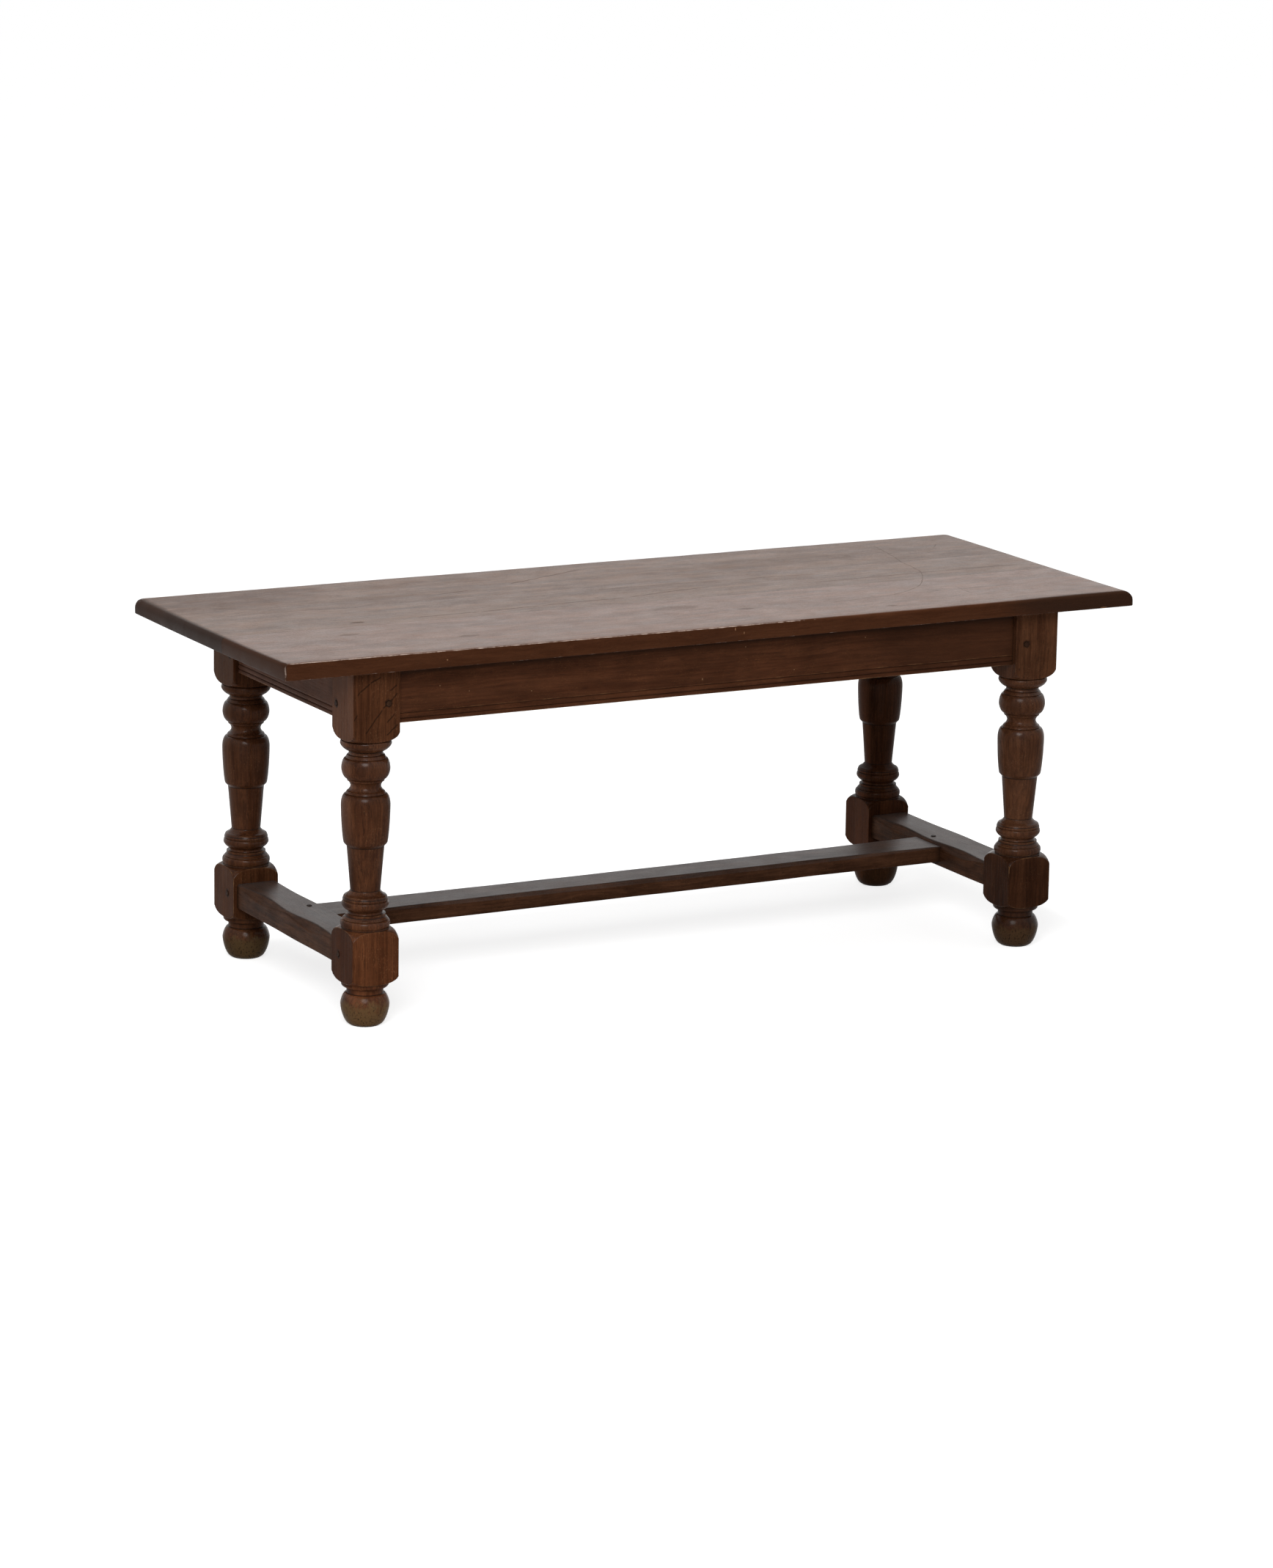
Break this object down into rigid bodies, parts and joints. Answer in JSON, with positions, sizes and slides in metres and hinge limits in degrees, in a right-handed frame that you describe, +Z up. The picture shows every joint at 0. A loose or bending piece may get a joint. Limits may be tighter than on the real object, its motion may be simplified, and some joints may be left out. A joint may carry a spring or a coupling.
{
  "type": "coffee table",
  "caption": "Long low oak coffee table: boarded top with a rounded edge on turned legs, beaded aprons and an H of stretchers, all mortised and pegged.",
  "frame": {"origin": "on the floor, under the middle of the top", "axes": "+X along the top's length, +Y across it towards the rear long side, +Z up"},
  "size_m": [1.4, 0.541, 0.55],
  "materials": {
    "top_oak": "worn waxed oak, greyed and slightly glossy",
    "leg_oak": "dark stained and waxed turned oak",
    "apron_oak": "dark stained and waxed oak",
    "stretcher_oak": "dark stained oak, dusty and worn on top",
    "peg_oak": "darkened oak end grain",
    "button_oak": "unstained oak",
    "screw_steel": "dull zinc-plated steel"
  },
  "bodies": {
    "root": {"top_board_front": "top_oak", "top_board_middle": "top_oak", "top_board_rear": "top_oak", "leg_front_left": "leg_oak", "leg_front_right": "leg_oak", "leg_rear_left": "leg_oak", "leg_rear_right": "leg_oak", "apron_front": "apron_oak", "apron_rear": "apron_oak", "apron_left": "apron_oak", "apron_right": "apron_oak", "stretcher_left": "stretcher_oak", "stretcher_right": "stretcher_oak", "stretcher_long": "stretcher_oak", "peg_long_front_left": "peg_oak", "peg_long_front_right": "peg_oak", "peg_long_rear_left": "peg_oak", "peg_long_rear_right": "peg_oak", "peg_end_front_left": "peg_oak", "peg_end_front_right": "peg_oak", "peg_end_rear_left": "peg_oak", "peg_end_rear_right": "peg_oak", "peg_lower_front_left": "peg_oak", "peg_lower_front_right": "peg_oak", "peg_lower_rear_left": "peg_oak", "peg_lower_rear_right": "peg_oak", "peg_stretcher_left": "peg_oak", "peg_stretcher_right": "peg_oak", "button_front_1": "button_oak", "button_front_2": "button_oak", "button_front_3": "button_oak", "button_rear_1": "button_oak", "button_rear_2": "button_oak", "button_rear_3": "button_oak", "button_left": "button_oak", "button_right": "button_oak", "screw_front_1": "screw_steel", "screw_front_2": "screw_steel", "screw_front_3": "screw_steel", "screw_rear_1": "screw_steel", "screw_rear_2": "screw_steel", "screw_rear_3": "screw_steel", "screw_left": "screw_steel", "screw_right": "screw_steel"}
  },
  "joints": []
}
